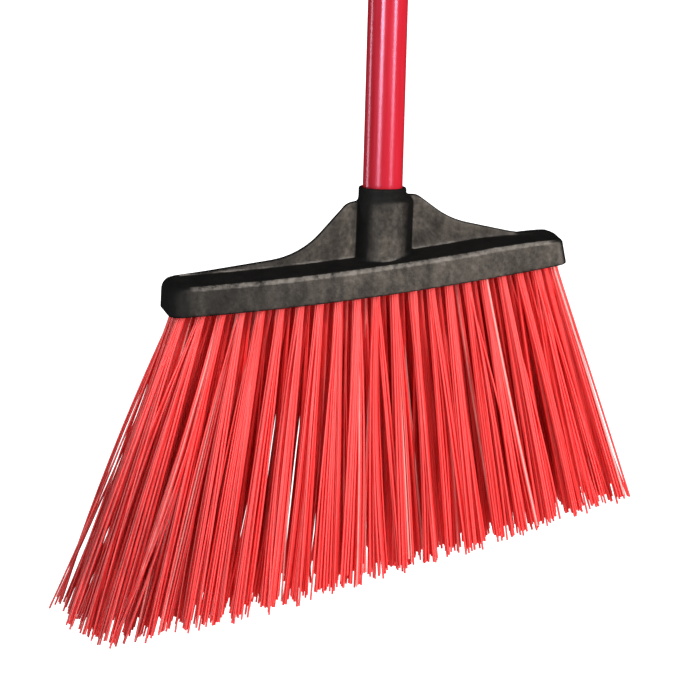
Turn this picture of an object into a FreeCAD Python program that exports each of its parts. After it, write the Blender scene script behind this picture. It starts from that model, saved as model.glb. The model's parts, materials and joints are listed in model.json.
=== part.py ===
# Angle broom: a threaded steel handle, a moulded block with a webbed socket, and fanned tufts cut on a slant.
# Millimetres. Origin on the handle's axis at the socket's mouth, +Z up the handle, +X towards the short tufts.
import FreeCAD, Part
import math
import os

import Sketcher

DIMENSIONS = [
    # handle tube and its threaded tip
    ("tube_diameter", 22.2, "outside diameter of the steel tube, 7/8 inch"),
    ("tube_wall", 0.7, "wall of the tube"),
    ("tube_top", 1142.0, "top end of the tube above the socket's mouth"),
    ("swage_diameter", 21.6, "tube end that goes into the socket"),
    ("swage_length", 18.3, "length of the reduced end"),
    ("swage_taper", 1.2, "length of the cone between the two diameters"),
    ("tip_shank", 14.0, "length of the tip's shank inside the tube"),
    ("tip_flange", 1.0, "thickness of the flange under the tube's end"),
    ("tip_chamfer", 1.5, "chamfer at the tip's lower end"),
    ("thread_major", 19.05, "crest diameter of the 3/4-5 Acme thread"),
    ("thread_minor", 13.6, "root diameter of the thread"),
    ("thread_pitch", 5.08, "pitch, five threads to the inch"),
    ("thread_turns", 4.0, "turns that the threaded length has room for"),
    ("thread_lead", 1.6, "plain length between the flange and the thread"),
    ("thread_runout", 0.8, "turns left plain at the lower end"),
    # end plug and swivelling hanger at the top
    ("plug_shank", 20.0, "length of the end plug inside the tube"),
    ("plug_flange", 2.2, "thickness of the plug's flange"),
    ("plug_lead", 2.0, "length of the taper at the plug's lower end"),
    ("plug_lead_width", 0.8, "width of that taper"),
    ("flange_diameter", 21.8, "diameter of the plug's flange and of the hanger"),
    ("journal_diameter", 8.0, "journal that the hanger turns on"),
    ("journal_length", 5.2, "length of the journal"),
    ("snap_diameter", 10.6, "snap head above the journal"),
    ("snap_height", 2.6, "height of the snap head"),
    ("snap_taper", 1.2, "width of the snap head's taper"),
    ("hanger_base", 11.5, "height of the hanger's round base"),
    ("hanger_height", 33.8, "height of the hanger above the plug's flange"),
    ("tab_thickness", 7.0, "thickness of the hanger's tab"),
    ("tab_slope", 3.5, "rise of the slope from the base to the tab"),
    ("hang_hole", 9.0, "diameter of the hang hole"),
    ("hang_drop", 11.5, "hang hole's centre below the top of the tab"),
    ("crown_flat", 1.2, "width of the flat at the top of the dome"),
    # block
    ("block_tilt", 8.3, "tilt of the block, right end up, in degrees"),
    ("block_left", 121.1, "left end of the block from the handle's axis"),
    ("block_right", 104.6, "right end of the block from the handle's axis"),
    ("block_depth", 51.6, "depth of the block, front to back, at the bottom"),
    ("block_draft", 7.0, "draft of the block's sides, in degrees"),
    ("block_corner", 8.5, "radius of the block's corners seen from above"),
    ("bottom_round", 1.2, "radius along the bottom edges"),
    ("edge_round", 2.0, "radius along the top edges"),
    ("arch_radius", 1800.0, "radius of the block's slight arch, centre above"),
    ("arch_sweep", 12.0, "angle of the cutters that shape the arch, in degrees"),
    ("underside", 57.4, "underside below the socket's mouth, on the axis"),
    ("ridge_height", 20.4, "ridge above the underside"),
    ("roof_slope", 12.0, "slope of the top from the ridge, in degrees"),
    ("ridge_round", 9.0, "radius along the ridge"),
    ("brow_round", 16.0, "radius where the top turns down to the right end"),
    # socket
    ("neck_radius", 13.3, "radius of the socket's neck"),
    ("neck_chamfer", 0.6, "chamfer round the mouth's outside"),
    ("barrel_offset", 1.4, "barrel's axis to the right of the handle's axis"),
    ("barrel_top", 7.5, "top of the barrel's side below the mouth"),
    ("barrel_shoulder", 2.2, "chamfer from the barrel's side to its top"),
    ("barrel_radius", 15.4, "radius at the barrel's top"),
    ("barrel_foot", 15.8, "radius at the barrel's foot"),
    ("barrel_sink", 4.0, "length of the barrel inside the bar, under the bore's floor"),
    ("socket_gap", 0.3, "gap round the handle in the socket"),
    ("mouth_chamfer", 0.5, "chamfer round the mouth's inside"),
    ("bore_floor", 41.0, "floor of the socket below its mouth"),
    # web on both sides of the socket
    ("web_thickness", 4.6, "thickness of the web"),
    ("web_sweep", 46.0, "radius of the hollow in the web's outline"),
    ("web_shoulder", 8.0, "radius of the web's shoulders"),
    # tufts
    ("front_tufts", 21, "tufts in the first and third rows"),
    ("first_root", 114.0, "first tuft left of the handle, along the block"),
    ("wide_pitch", 11.27, "pitch of the tufts at the left end"),
    ("narrow_pitch", 9.68, "pitch of the tufts at the right end"),
    ("row_spacing", 11.0, "spacing of the four rows, front to back"),
    ("hole_radius", 2.85, "radius of a tuft hole"),
    ("hole_depth", 9.6, "depth of a tuft hole along the tuft"),
    ("root_radius", 2.7, "radius of a tuft at its root"),
    ("tip_radius", 3.7, "radius of a tuft at 170 mm"),
    ("tuft_reach", 170.0, "length over which the tuft's radius is given"),
    ("flex_depth", 7.2, "flexing length of a tuft under the block"),
    ("flex_gap", 0.3, "gap between the root and the free part"),
    ("fan_left", 14.6, "lean of the tufts to the left at the left end, in degrees"),
    ("fan_right", 17.2, "lean of the last tuft to the right, in degrees"),
    ("end_splay", 1.8, "extra lean of the first tuft to the left, in degrees"),
    ("splay_reach", 1.5, "columns over which the extra lean fades out"),
    ("row_lean", 1.5, "lean of an inner row; an outer row leans three times that"),
    ("anchor_height", 1.8, "height of a wire anchor across a tuft's fold"),
    ("anchor_thickness", 0.6, "thickness of the anchor wire"),
    ("anchor_seat", 0.2, "gap between an anchor and the floor of its hole"),
    ("anchor_margin", 0.3, "gap between an anchor's ends and the side of its hole"),
    # trimmed ends of the tufts
    ("trim_drop", 213.5, "trimmed ends below the mouth, on the axis"),
    ("trim_slope", 16.0, "slope of the cut, right side up, in degrees"),
    ("trim_radius", 2460.0, "radius of the cut, centre above"),
    ("trim_left", 138.0, "where the cut starts to round up at the left"),
    ("trim_corner", 60.0, "radius of the cut's left corner"),
]

ROWS = 4
PARTS_FOLDER = "parts"
SHAFT_FIT = 0.05  # radial, plug and tip in the tube, and hanger on its journal
CLEARANCE = 0.3  # between neighbouring pieces that do not fit into each other
ACME_FLANK = 14.5  # angle of the thread's flanks, in degrees
ACME_CREST = 0.37  # width of the thread's crest as a share of the pitch
THREAD_SINK = 0.4  # how far the thread reaches into its core
CONE_REACH = 1.3  # length of an untrimmed tuft as a share of tuft_reach
WIDE = 40.0  # half-width of the cutters that shape the block, clear of its sides
BLANK_BELOW = 6.0  # the bar's blank starts this far under the underside
BLANK_ABOVE = 10.0  # and ends this far over the ridge, for the arch to be cut from it
CUTTER_DEPTH = 30.0  # thickness of the cutters that shape the arch
CUT_MARGIN = 1.0  # how far the hanger's cutters reach past it
DRILL_PAST = 8.0  # how far a drill reaches out of the underside
TRIM_SPACE_LEFT = -260.0  # sides and depth of the space that keeps the tufts, clear of the fan
TRIM_SPACE_RIGHT = 200.0
TRIM_SPACE_DEPTH = 120.0
NEAR = 0.5  # tolerance when an edge is picked by its place

# corners of the web's outline, X and Z
NECK_LEFT = (-10.0, -6.2)
LEFT_SHOULDER = (-19.4, -8.9)
LEFT_SWEEP = (-45.3, -38.9)
WEB_FOOT = [(-108.0, -49.0), (-108.0, -58.0), (0.0, -46.0), (66.0, -34.0), (72.0, -25.6)]
RIGHT_SWEEP = (38.7, -17.7)
RIGHT_SHOULDER = (19.4, -3.9)
NECK_RIGHT = (10.0, -3.9)

# outlines of the cuts that round the block's ends, X and Z; each reaches past the end and clear of the bar
LEFT_TOP_CUT = [(-108.0, -46.1), (-122.0, -59.2), (-140.0, -59.2), (-140.0, -40.0), (-108.0, -40.0)]
RIGHT_BROW = (93.0, -25.2)
RIGHT_TOP_CUT = [
    (62.0, -24.6), RIGHT_BROW, (107.0, -32.0), (120.0, -32.0), (120.0, -10.0), (62.0, -10.0)
]
LEFT_FOOT_CUT = [(-114.0, -72.2), (-122.0, -65.0), (-140.0, -65.0), (-140.0, -72.2)]
RIGHT_FOOT_CUT = [(97.5, -42.0), (105.5, -35.0), (120.0, -35.0), (120.0, -42.0)]

doc = FreeCAD.newDocument("angle_broom")
sheet = doc.addObject("Spreadsheet::Sheet", "Dimensions")
for row, (alias, size, note) in enumerate(DIMENSIONS, start=1):
    sheet.set(f"A{row}", str(size))
    sheet.set(f"B{row}", note)
    sheet.setAlias(f"A{row}", alias)
doc.recompute()
SIZE = {alias: float(sheet.get(alias)) for alias, _, _ in DIMENSIONS}


# ---------------------------------------------------------------- helpers


def cells(expression):
    """The expression with each dimension's name turned into its cell."""
    words = []
    for word in expression.split():
        words.append(f"Dimensions.{word}" if word in SIZE else word)
    return " ".join(words)


def bind(item, **sizes):
    """Binds properties of a document object to expressions of the dimensions."""
    for name, expression in sizes.items():
        item.setExpression(name, cells(expression))


def new_body(label):
    body = doc.addObject("PartDesign::Body", label + "_body")
    body.Label = label
    return body


def origin_plane(body, role):
    return next(p for p in body.Origin.OriginFeatures if p.Role == role)


def new_sketch(body, role, name, offset=None):
    sketch = body.newObject("Sketcher::SketchObject", name)
    sketch.AttachmentSupport = (origin_plane(body, role), [""])
    sketch.MapMode = "FlatFace"
    if offset:
        sketch.AttachmentOffset = offset
    return sketch


def polygon(sketch, corners):
    """A closed outline. Each corner is a pair of expressions, measured from the sketch's origin."""
    first = sketch.GeometryCount
    count = len(corners)
    ring = [
        FreeCAD.Vector(math.cos(2 * math.pi * k / count), math.sin(2 * math.pi * k / count), 0)
        for k in range(count)
    ]
    for k in range(count):
        sketch.addGeometry(Part.LineSegment(ring[k], ring[(k + 1) % count]))
    for k in range(count):
        after = first + (k + 1) % count
        sketch.addConstraint(Sketcher.Constraint("Coincident", first + k, 2, after, 1))
    for k, corner in enumerate(corners):
        for kind, start, expression in zip(("DistanceX", "DistanceY"), ring[k], corner):
            held = Sketcher.Constraint(kind, -1, 1, first + k, 1, start)
            index = sketch.addConstraint(held)
            sketch.setExpression(f"Constraints[{index}]", cells(expression))


def circle(sketch, x, y, diameter):
    """A circle whose centre and diameter are expressions."""
    index = sketch.addGeometry(Part.Circle(FreeCAD.Vector(1, 1, 0), FreeCAD.Vector(0, 0, 1), 1))
    for kind, expression in (("DistanceX", x), ("DistanceY", y)):
        held = sketch.addConstraint(Sketcher.Constraint(kind, -1, 1, index, 3, 1))
        sketch.setExpression(f"Constraints[{held}]", cells(expression))
    size = sketch.addConstraint(Sketcher.Constraint("Diameter", index, 2))
    sketch.setExpression(f"Constraints[{size}]", cells(diameter))


def turn(body, sketch, name, kind="PartDesign::Revolution", axis="V_Axis", angle="360"):
    """A revolution or groove of the sketch about one of its axes."""
    feature = body.newObject(kind, name)
    feature.Profile = sketch
    feature.ReferenceAxis = (sketch, [axis])
    feature.Midplane = True
    bind(feature, Angle=angle)
    doc.recompute()
    return feature


def pad(body, sketch, name, length, kind="PartDesign::Pad", **sizes):
    """A pad or pocket of the sketch, to both sides of its plane."""
    feature = body.newObject(kind, name)
    feature.Profile = sketch
    feature.Midplane = True
    bind(feature, Length=length, **sizes)
    doc.recompute()
    return feature


def round_edges(body, name, radius, wanted, kind="PartDesign::Fillet"):
    """Rounds the edges of the body's tip that the test picks."""
    base = body.Tip
    edges = [f"Edge{n}" for n, e in enumerate(base.Shape.Edges, start=1) if wanted(e)]
    if not edges:
        raise RuntimeError(f"{name}: no edge was picked")
    feature = body.newObject(kind, name)
    feature.Base = (base, edges)
    bind(feature, Radius=radius)
    doc.recompute()
    return feature


def middle(edge):
    return edge.valueAt((edge.FirstParameter + edge.LastParameter) / 2)


def cut_checked(feature, before):
    """Stops if a cut took nothing away from the volume before it."""
    if feature.Shape.Volume >= before - NEAR:
        raise RuntimeError(f"{feature.Label} cut nothing")


# ---------------------------------------------------------------- handle


def make_handle_tube():
    """Thin steel tube, open at both ends, with its lower end reduced to go into the socket."""
    body = new_body("handle_tube")
    sketch = new_sketch(body, "XZ_Plane", "tube_wall_section")
    polygon(sketch, [
        ("swage_diameter / 2 - tube_wall", "0 - swage_length"),
        ("swage_diameter / 2", "0 - swage_length"),
        ("swage_diameter / 2", "0 - swage_taper"),
        ("tube_diameter / 2", "0"),
        ("tube_diameter / 2", "tube_top"),
        ("tube_diameter / 2 - tube_wall", "tube_top"),
        ("tube_diameter / 2 - tube_wall", "0"),
        ("swage_diameter / 2 - tube_wall", "0 - swage_taper"),
    ])
    turn(body, sketch, "tube_turned")
    return body


def thread_ridge(crest, root, pitch, turns, start):
    """One helical Acme ridge that winds down from start, as a solid."""
    depth = crest - root + THREAD_SINK
    flank = math.tan(math.radians(ACME_FLANK))
    tip_half = ACME_CREST * pitch / 2
    foot_half = tip_half + depth * flank
    helix = Part.makeHelix(pitch, pitch * turns, crest)
    section = [
        FreeCAD.Vector(crest, 0, -tip_half),
        FreeCAD.Vector(crest, 0, tip_half),
        FreeCAD.Vector(crest - depth, 0, foot_half),
        FreeCAD.Vector(crest - depth, 0, -foot_half),
    ]
    profile = Part.makePolygon(section + section[:1])
    ridge = Part.Wire(helix).makePipeShell([profile], True, True)
    ridge.translate(FreeCAD.Vector(0, 0, start - pitch * turns))
    return ridge


def make_threaded_tip():
    """Moulded tip: a shank glued in the tube, a flange under its end, and a coarse thread."""
    body = new_body("threaded_tip_core")
    sketch = new_sketch(body, "XZ_Plane", "tip_section")
    shank = f"swage_diameter / 2 - tube_wall - {SHAFT_FIT}"
    end = "0 - swage_length - tip_flange - thread_pitch * thread_turns"
    polygon(sketch, [
        ("0", end),
        ("thread_minor / 2 - tip_chamfer", end),
        ("thread_minor / 2", f"{end} + tip_chamfer"),
        ("thread_minor / 2", "0 - swage_length - tip_flange"),
        ("swage_diameter / 2", "0 - swage_length - tip_flange"),
        ("swage_diameter / 2", "0 - swage_length"),
        (shank, "0 - swage_length"),
        (shank, "0 - swage_length + tip_shank"),
        ("0", "0 - swage_length + tip_shank"),
    ])
    turn(body, sketch, "tip_turned")
    top = -SIZE["swage_length"] - SIZE["tip_flange"] - SIZE["thread_lead"]
    turns = SIZE["thread_turns"] - SIZE["thread_runout"]
    ridge = thread_ridge(
        SIZE["thread_major"] / 2, SIZE["thread_minor"] / 2, SIZE["thread_pitch"], turns, top
    )
    tip = doc.addObject("Part::Feature", "threaded_tip")
    tip.Label = "threaded_tip"
    tip.Shape = body.Tip.Shape.fuse(ridge).removeSplitter()
    tip.Placement = FreeCAD.Placement()
    return tip


def make_end_plug():
    """Plug in the top of the tube, with the journal and snap head that carry the hanger."""
    body = new_body("end_plug")
    sketch = new_sketch(body, "XZ_Plane", "plug_section")
    shank = f"tube_diameter / 2 - tube_wall - {SHAFT_FIT}"
    top = "tube_top + plug_flange + journal_length"
    polygon(sketch, [
        ("0", "tube_top - plug_shank"),
        (f"{shank} - plug_lead_width", "tube_top - plug_shank"),
        (shank, "tube_top - plug_shank + plug_lead"),
        (shank, "tube_top"),
        ("flange_diameter / 2", "tube_top"),
        ("flange_diameter / 2", "tube_top + plug_flange"),
        ("journal_diameter / 2", "tube_top + plug_flange"),
        ("journal_diameter / 2", top),
        ("snap_diameter / 2", top),
        ("snap_diameter / 2", f"{top} + snap_height / 2"),
        ("snap_diameter / 2 - snap_taper", f"{top} + snap_height"),
        ("0", f"{top} + snap_height"),
    ])
    turn(body, sketch, "plug_turned")
    return body


def make_hang_cap():
    """Hanger that turns on the end plug: a round base that rises into a flat, domed tab with a hang hole."""
    body = new_body("hang_cap")
    foot = f"tube_top + plug_flange + {CLEARANCE}"
    crown = "tube_top + plug_flange + hanger_height"
    half = "flange_diameter / 2"
    beyond = f"{half} + {CUT_MARGIN}"
    sketch = new_sketch(body, "XZ_Plane", "hanger_section")
    polygon(sketch, [
        ("0", foot),
        (half, foot),
        (half, crown),
        ("0", crown),
    ])
    turn(body, sketch, "hanger_blank")
    round_edges(body, "hanger_dome", "flange_diameter / 2 - crown_flat / 2", crown_edge)
    flats = new_sketch(body, "YZ_Plane", "tab_flats")
    for side in ("1", "-1"):
        polygon(flats, [
            (f"{side} * tab_thickness / 2", f"{foot} + hanger_base + tab_slope"),
            (f"{side} * tab_thickness / 2", f"{crown} + {CUT_MARGIN}"),
            (f"{side} * ( {beyond} )", f"{crown} + {CUT_MARGIN}"),
            (f"{side} * ( {beyond} )", f"{foot} + hanger_base"),
        ])
    pad(body, flats, "tab_cut", f"2 * ( {beyond} )", kind="PartDesign::Pocket")
    hole = new_sketch(body, "XZ_Plane", "hang_hole_circle")
    circle(hole, "0", f"{crown} - hang_drop", "hang_hole")
    pad(body, hole, "hang_hole_cut", f"2 * ( {beyond} )", kind="PartDesign::Pocket")
    cavity = new_sketch(body, "XZ_Plane", "journal_cavity")
    inner = f"journal_diameter / 2 + {SHAFT_FIT}"
    outer = f"snap_diameter / 2 + {CLEARANCE}"
    step = f"tube_top + plug_flange + journal_length - {CLEARANCE}"
    roof = f"tube_top + plug_flange + journal_length + snap_height + {CLEARANCE}"
    polygon(cavity, [
        ("0", "tube_top"),
        (inner, "tube_top"),
        (inner, step),
        (outer, step),
        (outer, roof),
        ("0", roof),
    ])
    turn(body, cavity, "journal_cut", kind="PartDesign::Groove")
    return body


def crown_edge(edge):
    """The circle round the top of the hanger's blank."""
    crown = SIZE["tube_top"] + SIZE["plug_flange"] + SIZE["hanger_height"]
    return abs(edge.BoundBox.ZMin - crown) < NEAR


# ---------------------------------------------------------------- block


def block_frame(along=0.0, up=0.0):
    """Placement on the block's underside, on the handle's axis, tilted with the block."""
    tilt = FreeCAD.Rotation(FreeCAD.Vector(0, 1, 0), -SIZE["block_tilt"])
    base = FreeCAD.Vector(0, 0, -SIZE["underside"])
    return FreeCAD.Placement(base + tilt.multVec(FreeCAD.Vector(along, 0, up)), tilt)


def make_block_casting():
    """The moulding before its tuft holes: arched bar, web, and socket."""
    body = new_body("block_casting")
    add_bar(body)
    cut_arch(body)
    round_edges(body, "bottom_edges", "bottom_round", bottom_edge)
    ends = new_sketch(body, "XZ_Plane", "end_cutters")
    for outline in (LEFT_TOP_CUT, RIGHT_TOP_CUT, LEFT_FOOT_CUT, RIGHT_FOOT_CUT):
        polygon(ends, written(outline))
    pad(body, ends, "end_cut", f"2 * {WIDE}", kind="PartDesign::Pocket")
    round_edges(body, "right_brow", "brow_round", cross_edge([RIGHT_BROW]))
    round_edges(body, "ridge_round_over", "ridge_round", ridge_edge)
    round_edges(body, "top_edges", "edge_round", top_edge)
    add_web(body)
    add_socket(body)
    return body


def add_bar(body):
    """The bar's blank: drafted sides and round corners, before its top and underside are cut."""
    plan = new_sketch(body, "XY_Plane", "bar_plan", block_frame(up=-BLANK_BELOW))
    polygon(plan, [
        ("0 - block_left", "0 - block_depth / 2"),
        ("block_right", "0 - block_depth / 2"),
        ("block_right", "block_depth / 2"),
        ("0 - block_left", "block_depth / 2"),
    ])
    bar = body.newObject("PartDesign::Pad", "bar")
    bar.Profile = plan
    length = f"ridge_height + {BLANK_BELOW} + {BLANK_ABOVE}"
    bind(bar, Length=length, TaperAngle="0 - block_draft")
    doc.recompute()
    round_edges(body, "plan_corners", "block_corner", corner_edge)


def cut_arch(body):
    """Cuts the arched underside and the arched roof, both about one centre high above the block."""
    tilt = SIZE["block_tilt"]
    centre = block_frame(up=SIZE["arch_radius"]).Base
    arch_offset = FreeCAD.Placement(
        FreeCAD.Vector(0, centre.z, centre.x), FreeCAD.Rotation(FreeCAD.Vector(1, 0, 0), -tilt)
    )
    arch = new_sketch(body, "YZ_Plane", "arch_cutters", arch_offset)
    eaves = f"ridge_height - arch_radius - {WIDE} * tan( roof_slope * 1 deg )"
    polygon(arch, [
        (f"0 - {WIDE}", eaves),
        ("0", "ridge_height - arch_radius"),
        (f"{WIDE}", eaves),
        (f"{WIDE}", f"ridge_height - arch_radius + {CUTTER_DEPTH}"),
        (f"0 - {WIDE}", f"ridge_height - arch_radius + {CUTTER_DEPTH}"),
    ])
    polygon(arch, [
        (f"0 - {WIDE}", f"0 - arch_radius - {CUTTER_DEPTH}"),
        (f"{WIDE}", f"0 - arch_radius - {CUTTER_DEPTH}"),
        (f"{WIDE}", "0 - arch_radius"),
        (f"0 - {WIDE}", "0 - arch_radius"),
    ])
    before = body.Tip.Shape.Volume
    cut = turn(body, arch, "arch_cut", kind="PartDesign::Groove", axis="H_Axis", angle="arch_sweep")
    cut_checked(cut, before)


def in_block(point):
    """The point's place along, across and above the block's underside."""
    there = block_frame().inverse().multVec(point)
    arch = SIZE["arch_radius"]
    above = arch - math.hypot(there.x, arch - there.z)
    return there.x, there.y, above


def corner_edge(edge):
    """The upright edges at the blank's four corners."""
    box = edge.BoundBox
    return box.ZLength > max(box.XLength, box.YLength)


def runs_along(edge):
    return edge.Length > SIZE["block_left"]


def on_side(across):
    return abs(across) > SIZE["block_depth"] / 4


def bottom_edge(edge):
    along, across, above = in_block(middle(edge))
    return runs_along(edge) and on_side(across) and abs(above) < NEAR


def ridge_edge(edge):
    along, across, above = in_block(middle(edge))
    return runs_along(edge) and abs(across) < NEAR and abs(above - SIZE["ridge_height"]) < NEAR


def top_edge(edge):
    along, across, above = in_block(middle(edge))
    return runs_along(edge) and on_side(across) and above > SIZE["ridge_height"] / 2


def add_web(body):
    """The plate in the handle's plane: two shoulders at the neck that sweep down onto the ridge."""
    web = new_sketch(body, "XZ_Plane", "web_outline")
    outline = [
        NECK_LEFT, LEFT_SHOULDER, LEFT_SWEEP, *WEB_FOOT, RIGHT_SWEEP, RIGHT_SHOULDER, NECK_RIGHT
    ]
    polygon(web, written(outline))
    pad(body, web, "web", "web_thickness")
    round_edges(body, "web_sweeps", "web_sweep", cross_edge([LEFT_SWEEP, RIGHT_SWEEP]))
    round_edges(body, "web_shoulders", "web_shoulder", cross_edge([LEFT_SHOULDER, RIGHT_SHOULDER]))


def written(places):
    """The places as pairs of expressions."""
    return [(str(x), str(z)) for x, z in places]


def cross_edge(places):
    """A test for the edges that run front to back through these X, Z places."""

    def wanted(edge):
        there = middle(edge)
        near = any(math.hypot(there.x - x, there.z - z) < NEAR for x, z in places)
        return near and edge.BoundBox.YLength > SIZE["web_thickness"] / 2

    return wanted


def add_socket(body):
    """Round socket with a narrower neck, bored for the tube's end and for the thread."""
    beside = FreeCAD.Placement(FreeCAD.Vector(SIZE["barrel_offset"], 0, 0), FreeCAD.Rotation())
    barrel = new_sketch(body, "XZ_Plane", "barrel_section", beside)
    polygon(barrel, [
        ("0", "0 - bore_floor - barrel_sink"),
        ("barrel_foot", "0 - bore_floor - barrel_sink"),
        ("barrel_foot", "0 - bore_floor"),
        ("barrel_radius", "0 - barrel_top"),
        ("barrel_radius - barrel_shoulder", "0 - barrel_top + barrel_shoulder"),
        ("0", "0 - barrel_top + barrel_shoulder"),
    ])
    turn(body, barrel, "barrel")
    neck = new_sketch(body, "XZ_Plane", "neck_section")
    polygon(neck, [
        ("0", "0 - bore_floor"),
        ("neck_radius", "0 - bore_floor"),
        ("neck_radius", "0 - neck_chamfer"),
        ("neck_radius - neck_chamfer", "0"),
        ("0", "0"),
    ])
    turn(body, neck, "neck")
    bore = new_sketch(body, "XZ_Plane", "socket_bore")
    wide = "swage_diameter / 2 + socket_gap"
    narrow = "thread_major / 2 + socket_gap"
    step = "0 - swage_length - tip_flange - socket_gap"
    polygon(bore, [
        ("0", "0 - bore_floor"),
        (narrow, "0 - bore_floor"),
        (narrow, step),
        (wide, step),
        (wide, "0 - mouth_chamfer"),
        (f"{wide} + mouth_chamfer", "0"),
        (f"{wide} + mouth_chamfer", "barrel_sink"),
        ("0", "barrel_sink"),
    ])
    before = body.Tip.Shape.Volume
    cut = turn(body, bore, "bore", kind="PartDesign::Groove")
    cut_checked(cut, before)


# ---------------------------------------------------------------- tufts


def tuft_places():
    """For each column from left to right, its tufts as (place on the underside, direction)."""
    count = int(SIZE["front_tufts"])
    shrink = (SIZE["wide_pitch"] - SIZE["narrow_pitch"]) / (count - 1)
    columns = []
    for column in range(count):
        tufts = []
        for row in range(ROWS):
            step = column + 0.5 * (row % 2)
            if step > count - 1:
                continue
            along = -SIZE["first_root"] + SIZE["wide_pitch"] * step - shrink * step**2 / 2
            lean = -SIZE["fan_left"] + (SIZE["fan_left"] + SIZE["fan_right"]) * step / (count - 1)
            lean -= SIZE["end_splay"] * max(0, 1 - step / SIZE["splay_reach"])
            across = (row - (ROWS - 1) / 2) * SIZE["row_spacing"]
            tip = SIZE["row_lean"] * 2 * (row - (ROWS - 1) / 2)
            tufts.append((on_underside(along, across), tuft_direction(lean, tip)))
        columns.append(tufts)
    return columns


def on_underside(along, across):
    rise = SIZE["arch_radius"] - math.sqrt(SIZE["arch_radius"] ** 2 - along**2)
    return block_frame().multVec(FreeCAD.Vector(along, across, rise))


def tuft_direction(lean, tip):
    """Unit vector down a tuft that leans to the right by lean and to the back by tip, in degrees."""
    side = math.tan(math.radians(lean))
    back = math.tan(math.radians(tip))
    return FreeCAD.Vector(side, back, -1).normalize()


def along_tuft(root, direction, distance):
    """Placement at that distance down the tuft, its Z axis along the tuft."""
    turn_to = FreeCAD.Rotation(FreeCAD.Vector(0, 0, 1), direction)
    return FreeCAD.Placement(root + direction * distance, turn_to)


def group(label, members):
    """Several solids that make one sub-part."""
    compound = doc.addObject("Part::Compound", label)
    compound.Label = label
    compound.Links = members
    return compound


def make_tuft_roots(columns):
    """The fixed ends of all tufts, from the anchors in the holes to a little under the block."""
    roots = []
    for column in columns:
        for root, direction in column:
            part = doc.addObject("Part::Cylinder", "root")
            bind(
                part,
                Radius="root_radius",
                Height="hole_depth - anchor_height - 2 * anchor_seat + flex_depth - flex_gap",
            )
            start = SIZE["anchor_height"] + 2 * SIZE["anchor_seat"] - SIZE["hole_depth"]
            part.Placement = along_tuft(root, direction, start)
            roots.append(part)
    return group("tuft_roots", roots)


def make_tuft_anchors(columns):
    """One short flat wire across the bottom of each hole, which holds the tuft by its fold."""
    anchors = []
    for column in columns:
        for root, direction in column:
            part = doc.addObject("Part::Box", "anchor")
            bind(
                part,
                Length="anchor_thickness",
                Width="2 * hole_radius - 2 * anchor_margin",
                Height="anchor_height",
            )
            back = SIZE["anchor_margin"] - SIZE["hole_radius"]
            half = FreeCAD.Vector(-SIZE["anchor_thickness"] / 2, back, 0)
            seat = along_tuft(root, direction, SIZE["anchor_seat"] - SIZE["hole_depth"])
            part.Placement = seat.multiply(FreeCAD.Placement(half, FreeCAD.Rotation()))
            anchors.append(part)
    return group("tuft_anchors", anchors)


def make_trim():
    """The space above the slanted, slightly hollow cut, with its rounded left corner."""
    slope = math.radians(SIZE["trim_slope"])
    radius = SIZE["trim_radius"]
    corner = SIZE["trim_corner"]
    centre = FreeCAD.Vector(
        -radius * math.sin(slope), 0, -SIZE["trim_drop"] + radius * math.cos(slope)
    )

    def on_cut(x):
        return FreeCAD.Vector(x, 0, centre.z - math.sqrt(radius**2 - (x - centre.x) ** 2))

    start = on_cut(TRIM_SPACE_RIGHT)
    end = on_cut(-SIZE["trim_left"])
    corner_centre = end + (centre - end).normalize() * corner
    outward = (end - corner_centre).normalize()
    half_way = FreeCAD.Rotation(FreeCAD.Vector(0, 1, 0), 45).multVec(outward)
    side = FreeCAD.Rotation(FreeCAD.Vector(0, 1, 0), 90).multVec(outward)
    edges = [
        Part.Arc(start, on_cut(0), end).toShape(),
        Part.Arc(end, corner_centre + half_way * corner, corner_centre + side * corner).toShape(),
    ]
    left = corner_centre + side * corner
    top_left, top_right = (FreeCAD.Vector(x, 0, 0) for x in (TRIM_SPACE_LEFT, TRIM_SPACE_RIGHT))
    ends = [left, top_left, top_right, start]
    edges += [Part.makeLine(a, b) for a, b in zip(ends, ends[1:])]
    outline = Part.Face(Part.Wire(edges))
    outline.translate(FreeCAD.Vector(0, -TRIM_SPACE_DEPTH / 2, 0))
    trim = doc.addObject("Part::Feature", "trim_space")
    trim.Shape = outline.extrude(FreeCAD.Vector(0, TRIM_SPACE_DEPTH, 0))
    return trim


def make_tuft_columns(columns, trim):
    """Each column's free tufts: cones from under the block that the cut trims."""
    made = []
    for number, column in enumerate(columns, start=1):
        cones = []
        for root, direction in column:
            cone = doc.addObject("Part::Cone", "tuft")
            bind(
                cone,
                Radius1="root_radius",
                Radius2=f"root_radius + ( tip_radius - root_radius ) * {CONE_REACH}",
                Height=f"tuft_reach * {CONE_REACH}",
            )
            cone.Placement = along_tuft(root, direction, SIZE["flex_depth"])
            cones.append(cone)
        label = f"tuft_column_{number:02d}"
        whole = group(label + "_untrimmed", cones)
        trimmed = doc.addObject("Part::Common", label)
        trimmed.Label = label
        trimmed.Base = whole
        trimmed.Tool = trim
        made.append(trimmed)
    return made


def make_broom_block(columns):
    """The casting with its tuft holes."""
    casting = make_block_casting()
    drills = []
    for column in columns:
        for root, direction in column:
            drill = doc.addObject("Part::Cylinder", "drill")
            bind(drill, Radius="hole_radius", Height=f"hole_depth + {DRILL_PAST}")
            drill.Placement = along_tuft(root, direction, -SIZE["hole_depth"])
            drills.append(drill)
    block = doc.addObject("Part::Cut", "broom_block")
    block.Label = "broom_block"
    block.Base = casting
    block.Tool = group("tuft_drills", drills)
    return block


# ---------------------------------------------------------------- build and write


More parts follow.
